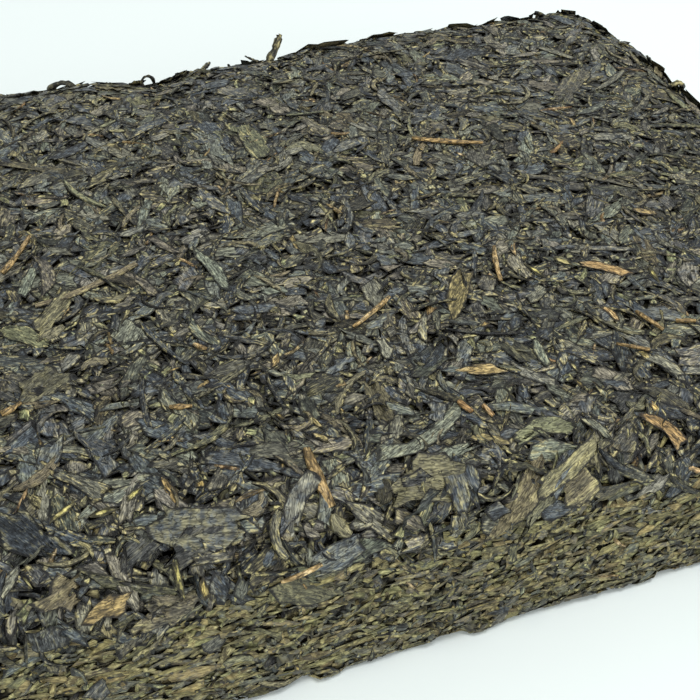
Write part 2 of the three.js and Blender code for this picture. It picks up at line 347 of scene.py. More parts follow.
def joined_mesh(name, points, triangles, corners_on_map, marks, finish):
    """One piece of the brick from arrays, with the marks that its finish reads on its points."""
    mesh = bpy.data.meshes.new(name)
    mesh.vertices.add(len(points))
    mesh.vertices.foreach_set("co", points.astype(np.float32).ravel())
    mesh.loops.add(triangles.size)
    mesh.loops.foreach_set("vertex_index", triangles.astype(np.int32).ravel())
    mesh.polygons.add(len(triangles))
    mesh.polygons.foreach_set("loop_start", np.arange(0, triangles.size, 3, dtype=np.int32))
    mesh.update(calc_edges=True)
    mesh.shade_smooth()
    surface_map = mesh.uv_layers.new(name="OFBake")
    surface_map.data.foreach_set("uv", corners_on_map.astype(np.float32).ravel())
    grain = mesh.attributes.new("grain", "FLOAT_VECTOR", "POINT")
    grain.data.foreach_set("vector", marks["grain"].astype(np.float32).ravel())
    for mark in LEAF_MARKS:
        values = mesh.attributes.new(mark, "FLOAT", "POINT")
        values.data.foreach_set("value", marks[mark].astype(np.float32).ravel())
    mesh.materials.append(finish)
    piece = bpy.data.objects.new(name, mesh)
    put_in_scene(piece)
    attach(piece, "root")
    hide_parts("tea_brick")
    return piece


def box_map(points, triangles, outs):
    """Lays the faces out on the surface map by the way that they look: six fields, one for each way."""
    share = (points - points.min(0)) / np.ptp(points, 0)
    way = np.abs(outs).argmax(1)
    backwards = np.take_along_axis(outs, way[:, None], 1)[:, 0] < 0
    across = np.where(way == 0, 1, 0)
    upwards = np.where(way == 2, 1, 2)
    field_width = np.where(way == 2, 0.62, 0.34)
    field_height = np.where(way == 2, 0.48, 0.2)
    start_x = np.where(way == 2, 0.01, 0.65)
    start_y = np.where(way == 2, 0.01 + 0.5 * backwards, 0.01 + 0.25 * (2 * way + backwards))
    corners = share[triangles]
    x, y = (np.take_along_axis(corners, axis[:, None, None], 2)[..., 0] for axis in (across, upwards))
    x = x * field_width[:, None] + start_x[:, None]
    y = y * field_height[:, None] + start_y[:, None]
    return np.stack([x, y], -1)


def scatter(random, count, **density):
    """Spots spread evenly over the skin, so many for each zone's area, with their outward directions."""
    middle = skin[skin_faces].mean(1)
    order = np.lexsort(np.floor(middle / SORTING_CELL).T)
    share = by_zone(middle, unit(face_out), density) * face_area
    running = np.cumsum(share[order])
    picks = (np.arange(count) + random.random(count)) / count * running[-1]
    faces = order[np.searchsorted(running, picks)]
    one, two = np.sqrt(random.random(count)), random.random(count)
    shares = np.stack([1 - one, one * (1 - two), one * two], 1)
    spots = (shares[..., None] * skin[skin_faces[faces]]).sum(1)
    return spots, unit((shares[..., None] * skin_out[skin_faces[faces]]).sum(1))


def leaf_colours(random, count, slate):
    """Draws how far each leaf turns to slate and to brown, and how pale its wrinkles and edges are."""
    return {
        "slate": slate * smoothstep(0.25, 0.75, random.random(count)),
        "brown": random.random(count),
        "pale": 0.35 + 1.25 * smoothstep(0.25, 1, random.random(count)),
    }


core_random = default_rng(3)
packed_bits, _ = scatter(core_random, PACKED_BITS, top=1, shoulder=1, side=1.2, under=0.7)
bit_tree = tree_of(packed_bits * LAYER_SQUEEZE)
hits = [bit_tree.find_n(place, 2) for place in (skin * LAYER_SQUEEZE).tolist()]
bit = np.array([hit[0][1] for hit in hits])
to_crack = np.array([hit[1][2] - hit[0][2] for hit in hits])
pits, _ = scatter(core_random, PITS, top=0.35, shoulder=0.8, side=1)
pit_tree = tree_of(pits * LAYER_SQUEEZE)
pit_size = PIT_REACH * np.exp(core_random.normal(0, 0.3, PITS))


def pit_depth(points):
    """How deep the skin is pitted at each point, where crumbs have fallen out."""
    hits = [pit_tree.find(point) for point in (points.reshape(-1, 3) * LAYER_SQUEEZE).tolist()]
    away = np.array([hit[2] for hit in hits]) / pit_size[[hit[1] for hit in hits]]
    return PIT_DEPTH * (1 - smoothstep(0.45, 1, away)).reshape(points.shape[:-1])


pitted = pit_depth(skin)
cracked = 1 - smoothstep(0, 1, to_crack / CRACK_WIDTH)
bit_level, bit_slope = core_random.uniform(-1, 1, PACKED_BITS), core_random.normal(0, 0.12, (PACKED_BITS, 3))
stands = by_zone(skin, skin_out, CORE_RELIEF) * bit_level[bit]
stands += (bit_slope[bit] * (skin - packed_bits[bit])).sum(1) - by_zone(skin, skin_out, CRACK_DEPTH) * cracked
core_points = skin + skin_out * (stands - by_zone(skin, skin_out, CORE_DRAWN_IN) - pitted)[:, None]
core_points[:, 2] = np.maximum(core_points[:, 2], CORE_DRAWN_IN["under"])
core_way = level_way(skin_out)
packed = leaf_finish("packed leaf", (0.038, 0.035, 0.027), (0.3, 0.28, 0.17), (0.5, 0.45, 0.23),
                     pitch=0.45, relief=0.2, pale_share=0.45, grain=0.8, crack_shade=0.7, sheen=0.12)
core_colours = leaf_colours(core_random, PACKED_BITS, 0.6)
core_grain = [(skin * core_way).sum(1), (skin * np.cross(skin_out, core_way)).sum(1), 0 * cracked]
joined_mesh("core", core_points, skin_faces, box_map(core_points, skin_faces, face_out), {
    "grain": np.stack(core_grain, 1),
    "tone": core_random.beta(0.9, 1.4, PACKED_BITS)[bit], "from_rim": np.ones(len(skin)),
    # Painted shade: the depth mark also drops in the cracks and the pits, which the finish paints darker.
    "depth": by_zone(skin, skin_out, CORE_SHADE) - 0.7 * cracked - pitted / MM,
    **{mark: draws[bit] for mark, draws in core_colours.items()},
}, packed)

# Slate chips
# Most of the skin is torn bits of leaf, a few millimetres long, pressed flat into each other: slate
# grey and faintly glossy where the leaf was old and dark.


def turned(spots, outs, angle, zero_way=None):
    """Seats for leaves: spot, outward, along and across, turned by an angle from level or a given way."""
    level = level_way(outs)
    if zero_way is not None:
        level = unit(zero_way - outs * (zero_way * outs).sum(1, keepdims=True))
    beside = np.cross(outs, level)
    along = level * np.cos(angle)[:, None] + beside * np.sin(angle)[:, None]
    return spots, outs, along, np.cross(outs, along)


def strewn(random, count, **density):
    """Seats strewn over the skin, so many for each zone's area, each turned any way."""
    spots, outs = scatter(random, count, **density)
    return turned(spots, outs, random.uniform(0, 2 * math.pi, count))


def loose(seats):
    """How freely the leaf lies: not at all where the mould's plates pressed it, and most at the shoulders."""
    return zones(seats[0], seats[1])["shoulder"]


def draped(seats, u, v, height, sinks):
    """Points at so many millimetres along, across and above the seats, following the skin and sinking in
    its pits, with the outward directions and the heights there."""
    spots, _, along, across = (part.reshape(len(part), *[1] * (u.ndim - 1), 3) for part in seats)
    feet, lifts = onto_skin(spots + MM * (along * u[..., None] + across * v[..., None]))
    if np.any(sinks):
        height = height - sinks * pit_depth(feet) / MM
    return feet + MM * lifts * height[..., None], lifts, height


def pressed(height, cap):
    """What would stand above the cap is squeezed down towards it, as the mould's plate does."""
    give = 0.25
    return cap - give * np.logaddexp(0, (cap - height) / give)


def lens_faces(columns, rows):
    """Triangles of a leaf: an upper and a lower sheet that share their rim, and the rim's order."""
    upper = np.arange((columns + 1) * (rows + 1)).reshape(columns + 1, rows + 1)
    lower = upper.copy()
    inner = (columns - 1) * (rows - 1)
    lower[1:-1, 1:-1] = upper.size + np.arange(inner).reshape(columns - 1, rows - 1)
    i, j = np.indices((columns, rows)).reshape(2, -1)
    towards_corner = (i < columns / 2) == (j < rows / 2)
    sheets = []
    for grid in (upper, lower):
        a, b, c, d = grid[i, j], grid[i + 1, j], grid[i + 1, j + 1], grid[i, j + 1]
        pairs = [a, b, np.where(towards_corner, c, d), np.where(towards_corner, a, b), c, d]
        sheets.append(np.stack(pairs, 1).reshape(-1, 3))
    sheets[1] = sheets[1][:, ::-1]
    loop = [*upper[:-1, 0], *upper[-1, :-1], *upper[:0:-1, -1], *upper[0, :0:-1]]
    rim = np.full(upper.size + inner, -1)
    rim[loop] = np.arange(len(loop))
    return sheets, rim


def two_sheets(flat, upper_faces, lower_faces):
    """A leaf's corners in its cell of the surface map: the upper sheet wide, the lower one in a strip."""
    return np.concatenate([flat[upper_faces] * (0.84, 1), flat[lower_faces] * (0.1, 1) + (0.9, 0)])


def of_each_leaf(cut, points):
    return {mark: np.repeat(cut[mark], points) for mark in ("tone", "slate", "brown", "pale")}


def many_leaves(name, places, faces, in_cell, marks, finish):
    """Joins like leaves into one piece. Each keeps a cell of the surface map to itself."""
    count, per_leaf = places.shape[:2]
    places[..., 2] = np.maximum(places[..., 2], 0)
    triangles = (np.arange(count)[:, None, None] * per_leaf + faces).reshape(-1, 3)
    per_row = math.ceil(math.sqrt(count))
    cell = np.stack([np.arange(count) % per_row, np.arange(count) // per_row], 1)
    on_map = (cell[:, None] + 0.04 + 0.92 * in_cell.reshape(-1, 2)) / per_row
    return joined_mesh(name, places.reshape(-1, 3), triangles, on_map, marks, finish)


def sharpen_rims(mesh, rim):
    order = rim[read(mesh.edges, "vertices", 2) % len(rim)]
    step = np.abs(order[:, 0] - order[:, 1])
    at_rim = (order.min(1) >= 0) & ((step == 1) | (step == rim.max()))
    mesh.edges.foreach_set("use_edge_sharp", at_rim)


def lay_leaves(name, random, seats, cut, finish, grid):
    """Lays leaves on the skin, each a thin closed lens of grid cells, torn and bent as its cut says."""
    columns, rows = grid
    count = len(seats[0])
    s, t = np.meshgrid(np.linspace(-1, 1, columns + 1), np.linspace(-1, 1, rows + 1), indexing="ij")
    of = {key: value.reshape(count, 1, 1) for key, value in cut.items()}
    torn_sides, torn_ends, crumple = random.normal(size=(3, count, columns + 1, rows + 1))
    tip = np.where(s < 0, of["start"], of["end"])
    profile = tip + (1 - tip) * (1 - np.abs(s) ** 2.5)
    half_length, half_width = of["length"] / 2, of["width"] / 2
    u = s * (1 + of["ragged"] * torn_ends) * half_length + of["skew"] * t * half_width
    v = t * (1 + of["ragged"] * torn_sides) * profile * half_width + of["bend"] * (s * s - 0.4) * half_length
    height = of["level"] + of["crown"] * (1 - t * t) + of["arch"] * (1 - s * s) + of["twist"] * s * t
    height = pressed(height + of["crumple"] * crumple + of["pitch"] * u + of["roll"] * v, of["cap"])
    height = height + of["curl"] * ((t + 1) / 2) ** 3 - of["vein"] * np.exp(-(t / 0.2) ** 2)
    upper, lifts, height = draped(seats, u, v, height, of["sinks"])
    lower = upper - MM * lifts * of["thick"][..., None]

    def both_sheets(above, below):
        rest = above.shape[3:]
        inner = below[:, 1:-1, 1:-1]
        return np.concatenate([above.reshape(len(above), -1, *rest), inner.reshape(len(above), -1, *rest)], 1)

    (upper_faces, lower_faces), rim = lens_faces(columns, rows)
    leaf = np.broadcast_to(random.random((count, 1, 1)), u.shape)
    grain = np.stack([u * MM, v * MM, leaf], -1)
    flat = np.stack([(s + 1) / 2, (t + 1) / 2], -1)[None]
    from_rim = np.minimum((1 - np.abs(s)) * half_length, (1 - np.abs(t)) * half_width)
    in_cell = two_sheets(both_sheets(flat, flat)[0], upper_faces, lower_faces)
    faces = np.concatenate([upper_faces, lower_faces])
    piece = many_leaves(name, both_sheets(upper, lower), faces, in_cell, {
        "grain": both_sheets(grain, grain), "depth": both_sheets(height, height - of["thick"]),
        "from_rim": both_sheets(from_rim, from_rim), **of_each_leaf(cut, len(rim)),
    }, finish)
    sharpen_rims(piece.data, rim)
    return piece


def torn_leaf(random, count, length, width, free=0.0, turns_slate=0.9, **given):
    """Draws the cuts of torn leaves, in millimetres. Length and width are middle sizes, free is how loosely
    each lies, turns_slate is how far they turn to slate, and what is given replaces a draw."""
    signs = random.choice((-1, 1), count, p=(0.3, 0.7))
    free = np.broadcast_to(free, count)
    cut = {
        "length": length * np.exp(random.normal(0, 0.38, count)),
        "width": width * np.exp(random.normal(0, 0.32, count)),
        "start": random.uniform(0.3, 1.1, count),
        "end": random.uniform(0.2, 1.0, count),
        "bend": random.normal(0, 0.18, count),
        "skew": random.normal(0, 0.45, count),
        "crown": signs * random.uniform(0.04, 0.22, count) * (1 + 2.5 * free),
        "arch": random.uniform(-0.05, 0.15, count) * (1 + free),
        "twist": random.normal(0, 0.06 + 0.1 * free),
        "pitch": random.normal(0, 0.035 + 0.1 * free),
        "roll": random.normal(0, 0.06 + 0.16 * free),
        "level": 0.25 + 0.4 * free - (0.65 + 1.2 * free) * random.random(count),
        "cap": 0.3 + 1.2 * free,
        "curl": 0.0,
        "vein": 0.0,
        "ragged": 0.17,
        "crumple": 0.05 + 0.06 * free,
        "sinks": 1.0,
        "thick": 0.4,
        "tone": random.beta(1.9, 2.6, count),
        **leaf_colours(random, count, turns_slate), **given,
    }
    return {key: np.broadcast_to(value, count) for key, value in cut.items()}


slate = leaf_finish("slate leaf", (0.019, 0.022, 0.025), (0.173, 0.187, 0.205), (0.5, 0.43, 0.19),
                    pitch=0.5, relief=0.5)
chip_random = default_rng(5)
SLATE_CHIPS = 5800
seats = strewn(chip_random, SLATE_CHIPS, top=1, shoulder=0.9, side=0.04)
cut = torn_leaf(chip_random, SLATE_CHIPS, 3.3, 1.7, loose(seats))
lay_leaves("slate_chips", chip_random, seats, cut, slate, grid=(2, 2))

# Larger torn leaf
# Bigger bits of leaf lie among the chips, wrinkled along their length, slate to olive grey. Those that
# stand out most are laid one by one: x, y, z, heading in degrees, length, width and tone.
LARGE_PLACED = {
    "brown strip": (-36, -2, 36, -87, 13, 2.5, 0.4), "orange edged curl": (-20, -10, 36, -59, 8, 2, 0.5),
    "tan edged curl": (-14, 0, 36, -59, 7, 1.7, 0.6), "olive curl": (-13, -26, 36, -67, 8, 2, 0.5),
    "pale green leaf": (-7, -10, 36, -80, 13, 2.5, 0.9), "left gold leaf": (-39, -3, 36, 68, 8, 2.5, 0.8),
    "ribbed leaf": (18, -26, 36, -91, 6, 3.5, 0.6), "far right leaf": (96, 30, 36, 30, 11, 2, 0.6),
    "corner leaf": (91, 47, 36, -58, 10, 2, 0.8), "pale chip": (23, -37, 36, -101, 5, 2, 1.0),
    "dark far leaf": (-26, 38, 36, 30, 8, 3, 0.1), "grey far leaf": (-20, 39, 36, -55, 7, 2.5, 0.7),
    "left shoulder leaf": (-37, -54, 36, -53, 10, 3, 0.5), "pale right leaf": (57, -58, 36, -62, 8, 2.4, 1.0),
    "green right leaf": (39, -49, 36, -100, 6, 1.7, 0.9), "white bit": (15, -40, 36, -95, 5.5, 2, 1.2),
}


def columns_of(pieces):
    return np.array(list(pieces.values()), float).T


def chosen(pieces):
    """Seats at chosen places: the pieces open with x, y, z in millimetres and a heading from the length."""
    x, y, z, heading = columns_of(pieces)[:4]
    spots, outs = onto_skin(np.stack([x, y, z], 1) * MM)
    return turned(spots, outs, np.radians(heading), np.array((1.0, 0.0, 0.0)))


def named(pieces, *words):
    """Which of the pieces have one of the words in their name."""
    return np.array([any(word in name for word in words) for name in pieces], float)


def laid_on_top(draw, random, pieces, **given):
    """The cuts of the same pieces, which go on with length, width and tone. They lie above the rest, and
    their names say which are slate, and which are more brown or more yellow than the others."""
    length, width, tone = columns_of(pieces)[4:7]
    free = loose(chosen(pieces))
    browner = named(pieces, "brown", "orange", "tan") - named(pieces, "yellow", "olive", "green", "gold")
    given = {"pitch": 0.0, "roll": 0.0, "level": 0.3 + 0.9 * free, "cap": 0.6 + 1.4 * free, "sinks": 0.0,
             "brown": 0.5 + 0.5 * browner, "slate": 0.1 + 0.8 * named(pieces, "slate", "dark", "grey"),
             **given}
    cut = draw(random, len(pieces), length, width, tone=tone, **given)
    cut.update(length=length, width=width)
    return cut


def with_placed(seats, cut, draw, random, pieces, **given):
    """Adds the seats and cuts of the chosen pieces to those of the strewn ones."""
    placed = laid_on_top(draw, random, pieces, **given)
    seats = tuple(np.concatenate(pair) for pair in zip(seats, chosen(pieces)))
    return seats, {key: np.concatenate([cut[key], placed[key]]) for key in cut}


leaf_random = default_rng(7)
LARGE_LEAVES = 2700
grey_olive = leaf_finish("grey olive leaf", (0.021, 0.024, 0.026), (0.218, 0.23, 0.235), (0.5, 0.43, 0.19),
                         pitch=0.6, relief=0.6)
seats = strewn(leaf_random, LARGE_LEAVES, top=1, shoulder=1.1)
free = loose(seats)
cut = torn_leaf(leaf_random, LARGE_LEAVES, 6, 2.7, free, sinks=0.5,
                level=0.28 + 0.5 * free - (0.5 + 1.2 * free) * leaf_random.random(LARGE_LEAVES))
seats, cut = with_placed(seats, cut, torn_leaf, leaf_random, LARGE_PLACED)
lay_leaves("large_leaves", leaf_random, seats, cut, grey_olive, grid=(4, 2))

# Olive chips
# Younger leaf dries to olive and khaki. Its chips are smaller and lie scattered through the slate ones.
olive_random = default_rng(9)
OLIVE_CHIPS = 3600
olive = leaf_finish("olive leaf", (0.042, 0.044, 0.034), (0.29, 0.295, 0.2), (0.56, 0.5, 0.22),
                    pitch=0.4, relief=0.4)
seats = strewn(olive_random, OLIVE_CHIPS, top=1, shoulder=0.9, side=0.3)
cut = torn_leaf(olive_random, OLIVE_CHIPS, 2.6, 1.15, loose(seats), turns_slate=0.2)
lay_leaves("olive_chips", olive_random, seats, cut, olive, grid=(2, 2))

# Fine bits
# Leaf broken small in the sorting fills the gaps between the chips, from near black to khaki.
FINE_SIDES = 5


def lay_bits(name, random, seats, cut, finish):
    """Lays small chips on the skin: a ragged rim of a few corners with a crown above and a keel below."""
    count = len(seats[0])
    of = {key: value.reshape(count, 1) for key, value in cut.items()}
    corner = np.arange(FINE_SIDES)
    angle = (corner + 0.22 * random.normal(size=(count, FINE_SIDES))) * 2 * math.pi / FINE_SIDES
    reach = np.clip(1 + 0.22 * random.normal(size=(count, FINE_SIDES)), 0.5, 1.5)
    middle = np.zeros((count, 2))
    u = np.concatenate([np.cos(angle) * reach * of["length"] / 2, middle], 1)
    v = np.concatenate([np.sin(angle) * reach * of["width"] / 2, middle], 1)
    rim_stands = of["crumple"] * random.normal(size=(count, FINE_SIDES))
    stands = np.concatenate([rim_stands, np.abs(of["crown"]), -of["thick"]], 1)
    height = pressed(of["level"] + stands + of["pitch"] * u + of["roll"] * v, of["cap"])
    places, _, height = draped(seats, u, v, height, of["sinks"])
    after = np.roll(corner, -1)
    upper = np.stack([corner, after, np.full(FINE_SIDES, FINE_SIDES)], 1)
    lower = np.stack([after, corner, np.full(FINE_SIDES, FINE_SIDES + 1)], 1)
    round_rim = 2 * math.pi * corner / FINE_SIDES
    rim_flat = 0.5 + 0.5 * np.stack([np.cos(round_rim), np.sin(round_rim)], 1)
    flat = np.concatenate([rim_flat, np.full((2, 2), 0.5)])
    rim = np.append(corner, (-1, -1))
    leaf = np.broadcast_to(random.random((count, 1)), u.shape)
    piece = many_leaves(name, places, np.concatenate([upper, lower]), two_sheets(flat, upper, lower), {
        "grain": np.stack([u * MM, v * MM, leaf], -1), "depth": height,
        "from_rim": (rim < 0) * 0.4 * np.minimum(of["length"], of["width"]), **of_each_leaf(cut, len(rim)),
    }, finish)
    sharpen_rims(piece.data, rim)
    return piece


fine_random = default_rng(11)
FINE_BITS = 16000
broken = leaf_finish("broken leaf", (0.02, 0.023, 0.025), (0.365, 0.375, 0.31), (0.58, 0.51, 0.25),
                     pitch=0.4, relief=0.25)
seats = strewn(fine_random, FINE_BITS, top=1, shoulder=0.4, side=0.35)
free = loose(seats)
cut = torn_leaf(fine_random, FINE_BITS, 1.6, 0.85, free, turns_slate=0.6,
                tone=fine_random.beta(0.8, 1.5, FINE_BITS),
                level=0.05 - (0.6 + 1.2 * free) * fine_random.random(FINE_BITS))
lay_bits("fine_bits", fine_random, seats, cut, broken)

# Leaf layers on the sides
# The mould's wall shows the brick's layers edge on, rubbed flush: bits and streaks of olive and slate leaf,
# many of them nearly level, with small pits between.
layer_random = default_rng(13)
SIDE_BITS = 13000
SIDE_SIZES = np.array([(6, 1.6), (2.8, 1.3), (1.4, 0.9)])
SIDE_SHARES = (0.07, 0.36, 0.57)
FOOT_DARK = 0.3  # painted shade near the floor: how much of its tone the leaf loses down to the foot
FOOT_DARK_HEIGHT = 10 * MM
layered = leaf_finish("layered leaf", (0.095, 0.086, 0.063), (0.31, 0.285, 0.165), (0.5, 0.45, 0.22),
                      pitch=0.4, relief=0.15, pale_share=0.45, grain=0.6, crack_shade=0.4, sheen=0.12)
spots, outs = scatter(layer_random, SIDE_BITS, shoulder=0.25, side=1)
size = layer_random.choice(len(SIDE_SIZES), SIDE_BITS, p=SIDE_SHARES)
seats = turned(spots, outs, layer_random.normal(0, 0.2 + 0.3 * size))
# Painted shade: the leaf's tone is lowered towards the foot, as the shade near the floor.
foot_shade = FOOT_DARK * smoothstep(FOOT_DARK_HEIGHT, 0, spots[:, 2])
cut = torn_leaf(layer_random, SIDE_BITS, SIDE_SIZES[size, 0], SIDE_SIZES[size, 1], 0.4 * loose(seats),
                turns_slate=0.45, crumple=0.03, crown=layer_random.uniform(0.02, 0.08, SIDE_BITS),
                pitch=layer_random.normal(0, 0.04, SIDE_BITS), roll=layer_random.normal(0, 0.06, SIDE_BITS),
                tone=layer_random.beta(1.5, 1.9, SIDE_BITS) - foot_shade,
                level=0.06 - 0.16 * layer_random.random(SIDE_BITS))
lay_bits("side_layers", layer_random, seats, cut, layered)

# Twisted strips
# Young leaf rolled along its length before drying: wiry strips with a groove down the middle, many of
# them curled round like a hook.
ROLLED = np.array([(-1, -0.1), (-0.55, 0.75), (0.05, 0.25), (0.62, 0.8), (1, -0.2)])
ROLLED_RIM = np.array([0.2, 0.35, 1, 0.35, 0.2])  # how far each corner lies from the strip's edges


def lay_rods(name, random, seats, cut, finish, section, inside, stations):
    """Lays strips or stems on the skin: a section carried along an arc, tapered to its ends and twisted."""
    count, sides = len(seats[0]), len(section)
    s = np.linspace(-1, 1, stations)
    of = {key: value.reshape(count, 1) for key, value in cut.items()}
    radius = of["length"] / 2 / of["curl"]
    u = radius * np.sin(s * of["curl"])
    reach = radius * (1 - np.cos(s * of["curl"])) - radius * (1 - np.cos(of["curl"])) * 0.4
    v = reach * np.cos(of["stand"])
    height = of["level"] + of["arch"] * (1 - s * s) + of["pitch"] * u + reach * np.sin(of["stand"])
    height = pressed(height, of["cap"])
    middle, lifts, height = draped(seats, u, v, height, 0)
    ahead_of = unit(np.gradient(middle, axis=1))
    beside = unit(np.cross(lifts, ahead_of))
    above = np.cross(ahead_of, beside)
    girth = of["tip"] + (1 - of["tip"]) * (1 - np.abs(s) ** 3)
    girth = girth * (1 + 0.12 * random.normal(size=(count, stations)))
    swing = (of["twist"] * s + of["roll"])[..., None]
    x = section[:, 0] * (girth * of["width"] / 2)[..., None]
    y = section[:, 1] * (girth * of["thick"] / 2)[..., None]
    over = (x * np.cos(swing) - y * np.sin(swing))[..., None]
    rise = (x * np.sin(swing) + y * np.cos(swing))[..., None]
    places = middle[:, :, None] + MM * (beside[:, :, None] * over + above[:, :, None] * rise)

    station, side = np.indices((stations - 1, sides)).reshape(2, -1)
    steps = np.array([[(0, 0), (1, 0), (1, 1)], [(0, 0), (1, 1), (0, 1)]])
    at_station = (station[:, None, None] + steps[None, :, :, 0]).reshape(-1, 3)
    at_side = (side[:, None, None] + steps[None, :, :, 1]).reshape(-1, 3)
    walls = at_station * sides + at_side % sides
    walls_in_cell = np.stack([0.9 * at_station / (stations - 1), at_side / sides], -1)
    fan = np.array([(0, k, k + 1) for k in range(1, sides - 1)])
    ends = np.concatenate([fan, fan[:, ::-1] + (stations - 1) * sides])
    ends_in_cell = section[ends % sides] * 0.04 + (0.95, 0.5)
    leaf = random.random((count, 1, 1))
    shape = (count, stations, sides)
    lengthways, round_about = s * of["length"] / 2 * MM, np.arange(sides) / sides * 2 * of["width"] * MM
    grain = [np.broadcast_to(part, shape) for part in (lengthways[..., None], round_about[:, None], leaf)]
    return many_leaves(name, places.reshape(count, -1, 3), np.concatenate([walls, ends]),
                       np.concatenate([walls_in_cell, ends_in_cell]), {
        "grain": np.stack(grain, -1), "depth": np.repeat(height, sides, axis=1),
        "from_rim": np.tile(inside, (count, stations)) * of["width"] / 2,
        **of_each_leaf(cut, stations * sides),
    }, finish)


def rolled_leaf(random, count, length, width, free=0.0, turns_slate=0.8, **given):
    """Draws the cuts of rolled strips, in millimetres, as torn_leaf does."""
    free = np.broadcast_to(free, count)
    cut = {
        "length": length * np.exp(random.normal(0, 0.35, count)),
        "width": width * np.exp(random.normal(0, 0.28, count)),
        "thick": random.uniform(0.5, 0.95, count),
        "tip": random.uniform(0.15, 0.7, count),
        "curl": np.maximum(np.abs(random.normal(0.3, 0.7, count)), 0.05),
        "stand": random.normal(0, 0.1 + 0.5 * free),
        "twist": random.normal(0, 0.6, count),
        "roll": random.normal(0, 0.35, count),
        "level": 0.1 + 0.6 * free - (0.6 + 1.4 * free) * random.random(count),
        "arch": random.uniform(-0.1, 0.3, count),
        "pitch": random.normal(0, 0.03 + 0.1 * free),
        "cap": 0.35 + 1.6 * free,
        "tone": random.beta(1.3, 1.7, count),
        **leaf_colours(random, count, turns_slate), **given,
    }
    return {key: np.broadcast_to(value, count) for key, value in cut.items()}


# Those that stand out most: x, y, z, heading, length, width, tone and curl. Strays that lift off the
# edges go on with how steeply the curl stands, how fast the strip rises, its lift and its thickness.
STRIPS_PLACED = {
    "long brown strip": (-29, -8, 36, 18, 20, 1.8, 0.8, 0.25),
    "slate strip": (-20, -27, 36, -69, 14, 1.5, 0.35, 0.15),
    "yellow strip": (-26, 21, 36, -62, 14, 1.5, 1.2, 0.35), "boat": (-26, -13, 36, -8, 6, 1.7, 0.6, 0.8),
    "dark wire": (32, -42, 36, -24, 13, 0.7, 0.1, 0.3), "centre hook": (10, -27, 36, -93, 8, 1.6, 0.5, 0.5),
    "brown hook": (-12, -43, 36, -61, 6, 0.9, 0.7, 1.3), "dark strip": (5, 9, 36, -79, 10, 1.8, 0.2, 0.2),
    "far hook": (73, 30, 36, 36, 14, 1.4, 0.8, 1.3), "far stick": (78, -7, 36, -48, 7, 0.8, 0.9, 0.1),
    "right stick": (82, -13, 36, -6, 7, 0.8, 0.8, 0.15),
    "yellow right strip": (106, 18, 36, -82, 9, 1.6, 1.2, 0.3),
    "corner strip": (103, 42, 36, -87, 7, 1, 1.1, 0.6), "green stalk": (26, 38, 36, -8, 10, 0.9, 1.2, 0.1),
    "shoulder strip": (-3, -72, 34, -59, 4, 2.3, 0.9, 0.5),
    "shoulder hook": (20, -73, 34, -20, 10, 0.8, 0.9, 1.1),
    "dark shoulder wire": (41, -75, 34, -40, 7, 1.2, 0.1, 0.4),
    "grey curl": (-12, -71, 35, -95, 7, 1.7, 0.7, 0.8),
    "shoulder loop": (-10, -64, 36, -96, 5, 1.2, 0.8, 1.8),
    "pale arc": (-41, -66, 35, 0, 8, 1.1, 1.0, 0.7),
}
STRAYS = {
    "left hook": (-60, 70, 36, 15, 5, 1.2, 0.2, 1.5, 0.9, 0.2, 0.8, 0.8),
    "arch": (-24, 69, 36, 0, 9, 2.2, 0.1, 1.2, -1.3, 0, 0.3, 2.0),
    "ring": (-4, 69, 36, 0, 8.7, 1.0, 0.3, 2.9, -1.4, 0, 1.3, 1.2),
    "edge spike": (10, 69, 36, 40, 3, 1.6, 0.2, 0.3, 0.5, 0.6, 0.6, 1.0),
    "far tip": (22, 69, 36, 175, 5, 1.5, 0.2, 0.5, 0.8, 0.5, 0.5, 1.2),
    "upright curl": (26, 69, 36, 0, 7.5, 2.2, 0.2, 0.6, 0.6, 1.3, 0.5, 3.4),
    "corner tip": (98, 69, 36, 160, 4, 1.6, 0.2, 0.5, 0.5, 0.6, 0.4, 1.2),
    "right tip": (112, 38, 34, 190, 5, 1.8, 0.2, 0.3, 0.4, 0.5, 0.5, 1.2),
    "right loop": (110, 24, 35, 10, 9, 1.5, 0.2, 2.6, -1.2, 0, 0.7, 1.8),
}
STRAY_CAP = 8
strip_random = default_rng(17)
STRIPS = 1750
rolled = leaf_finish("rolled leaf", (0.02, 0.023, 0.025), (0.238, 0.235, 0.195), (0.54, 0.47, 0.21),
                     pitch=0.4, relief=0.45, grain=0.7)
seats = strewn(strip_random, STRIPS, top=1, shoulder=2.4, side=0.05)
cut = rolled_leaf(strip_random, STRIPS, 7, 1.35, loose(seats))
curl = columns_of(STRIPS_PLACED)[7]
seats, cut = with_placed(seats, cut, rolled_leaf, strip_random, STRIPS_PLACED, curl=curl)
lay_rods("twisted_strips", strip_random, seats, cut, rolled, ROLLED, ROLLED_RIM, stations=8)
curl, stand, rise, lift, thick = columns_of(STRAYS)[7:]
cut = laid_on_top(rolled_leaf, strip_random, STRAYS, curl=curl, stand=stand, pitch=rise, level=lift, tip=0.6,
                  thick=thick, cap=STRAY_CAP)
lay_rods("stray_strips", strip_random, chosen(STRAYS), cut, rolled, ROLLED, ROLLED_RIM, stations=20)

